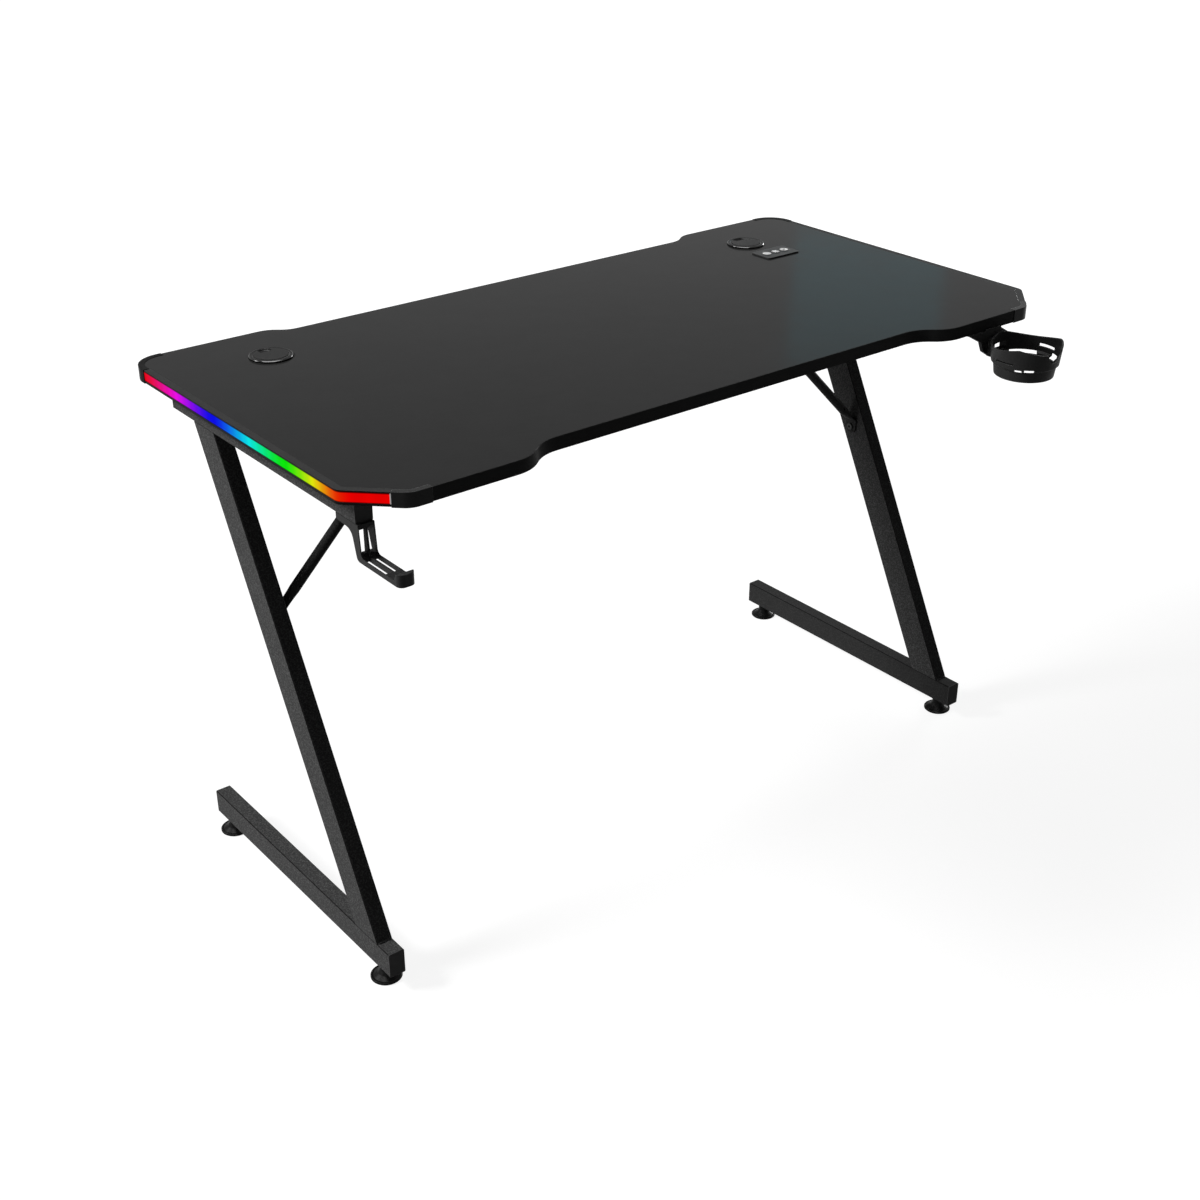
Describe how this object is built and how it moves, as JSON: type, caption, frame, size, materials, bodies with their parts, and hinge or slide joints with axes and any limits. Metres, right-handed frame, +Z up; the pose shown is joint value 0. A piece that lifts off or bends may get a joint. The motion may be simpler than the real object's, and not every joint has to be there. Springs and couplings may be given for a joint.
{
  "type": "gaming desk",
  "caption": "Black gaming desk on Z-shaped steel legs with lit side edges, cable grommets, light buttons, a headset hook and a cup holder.",
  "frame": {"origin": "on the floor under the middle of the whole desk with its cup holder", "axes": "+X to the user's right, +Y from the user towards the rear edge, +Z up"},
  "size_m": [1.2014, 0.7112, 0.7534],
  "materials": {
    "laminate": "matte black carbon-look laminate on chipboard",
    "edge_plastic": "satin black",
    "cap_plastic": "fine-grained black",
    "channel_plastic": "satin black",
    "diffuser_plastic": "milky, lit in rainbow colours",
    "tape": "white tape",
    "grommet_plastic": "satin black with a shiny rim",
    "control_plastic": "satin black",
    "button_plastic": "satin black with plain white marks",
    "circuit": "green solder mask",
    "component_plastic": "moulded black",
    "leg_paint": "black powder coat, fine grain",
    "plug_plastic": "black",
    "bolt_steel": "black oxide",
    "zinc_steel": "zinc plated",
    "insert_brass": "plain",
    "foot_plastic": "black moulding with a steel stud inside",
    "accessory_plastic": "fine-grained black"
  },
  "bodies": {
    "desk": {"brace_bolts": "bolt_steel", "brace_left": "leg_paint", "brace_nuts": "zinc_steel", "brace_right": "leg_paint", "control_board": "circuit", "control_board_screws": "zinc_steel", "control_housing": "control_plastic", "control_panel": "control_plastic", "control_switches": "component_plastic", "corner_cap_front_left": "cap_plastic", "corner_cap_front_right": "cap_plastic", "corner_cap_rear_left": "cap_plastic", "corner_cap_rear_right": "cap_plastic", "crossbeam": "leg_paint", "crossbeam_bolts": "bolt_steel", "crossbeam_nuts": "zinc_steel", "crossbeam_plate_left": "leg_paint", "crossbeam_plate_right": "leg_paint", "cup_holder_basket": "accessory_plastic", "cup_holder_basket_screws": "zinc_steel", "cup_holder_bracket": "accessory_plastic", "cup_holder_bracket_screws": "zinc_steel", "foot_nuts": "zinc_steel", "foot_rail_left": "leg_paint", "foot_rail_plugs": "plug_plastic", "foot_rail_right": "leg_paint", "front_edge_band": "edge_plastic", "grommet_sleeve_left": "grommet_plastic", "grommet_sleeve_right": "grommet_plastic", "headset_hook": "accessory_plastic", "headset_hook_screws": "zinc_steel", "led_tape_left": "tape", "led_tape_right": "tape", "light_channel_left": "channel_plastic", "light_channel_right": "channel_plastic", "light_diffuser_left": "diffuser_plastic", "light_diffuser_right": "diffuser_plastic", "post_left": "leg_paint", "post_right": "leg_paint", "power_inlet": "component_plastic", "rear_edge_band": "edge_plastic", "tabletop_board": "laminate", "tabletop_bolts": "bolt_steel", "threaded_inserts": "insert_brass", "top_rail_left": "leg_paint", "top_rail_plugs": "plug_plastic", "top_rail_right": "leg_paint"},
    "foot_front_left": {"levelling_foot_front_left": "foot_plastic"},
    "foot_front_right": {"levelling_foot_front_right": "foot_plastic"},
    "foot_rear_left": {"levelling_foot_rear_left": "foot_plastic"},
    "foot_rear_right": {"levelling_foot_rear_right": "foot_plastic"},
    "grommet_left": {"grommet_cap_left": "grommet_plastic"},
    "grommet_right": {"grommet_cap_right": "grommet_plastic"},
    "button_left": {"control_button_left": "button_plastic"},
    "button_middle": {"control_button_middle": "button_plastic"},
    "button_right": {"control_button_right": "button_plastic"}
  },
  "joints": [
    {"name": "foot_front_left_height", "type": "slide", "parent": "desk", "child": "foot_front_left", "axis": [0, 0, -1], "range_m": [0, 0.015]},
    {"name": "foot_front_right_height", "type": "slide", "parent": "desk", "child": "foot_front_right", "axis": [0, 0, -1], "range_m": [0, 0.015]},
    {"name": "foot_rear_left_height", "type": "slide", "parent": "desk", "child": "foot_rear_left", "axis": [0, 0, -1], "range_m": [0, 0.015]},
    {"name": "foot_rear_right_height", "type": "slide", "parent": "desk", "child": "foot_rear_right", "axis": [0, 0, -1], "range_m": [0, 0.015]},
    {"name": "grommet_left_turn", "type": "hinge", "parent": "desk", "child": "grommet_left", "pos_m": [-0.44, 0.253, 0.7523], "axis": [0, 0, 1], "continuous": true},
    {"name": "grommet_right_turn", "type": "hinge", "parent": "desk", "child": "grommet_right", "pos_m": [0.44, 0.253, 0.7523], "axis": [0, 0, 1], "continuous": true},
    {"name": "button_left_press", "type": "slide", "parent": "desk", "child": "button_left", "axis": [0, 0, -1], "range_m": [0, 0.0012], "stiffness_N_per_m": 1500, "springref_m": -0.0003},
    {"name": "button_middle_press", "type": "slide", "parent": "desk", "child": "button_middle", "axis": [0, 0, -1], "range_m": [0, 0.0012], "stiffness_N_per_m": 1500, "springref_m": -0.0003},
    {"name": "button_right_press", "type": "slide", "parent": "desk", "child": "button_right", "axis": [0, 0, -1], "range_m": [0, 0.0012], "stiffness_N_per_m": 1500, "springref_m": -0.0003}
  ]
}
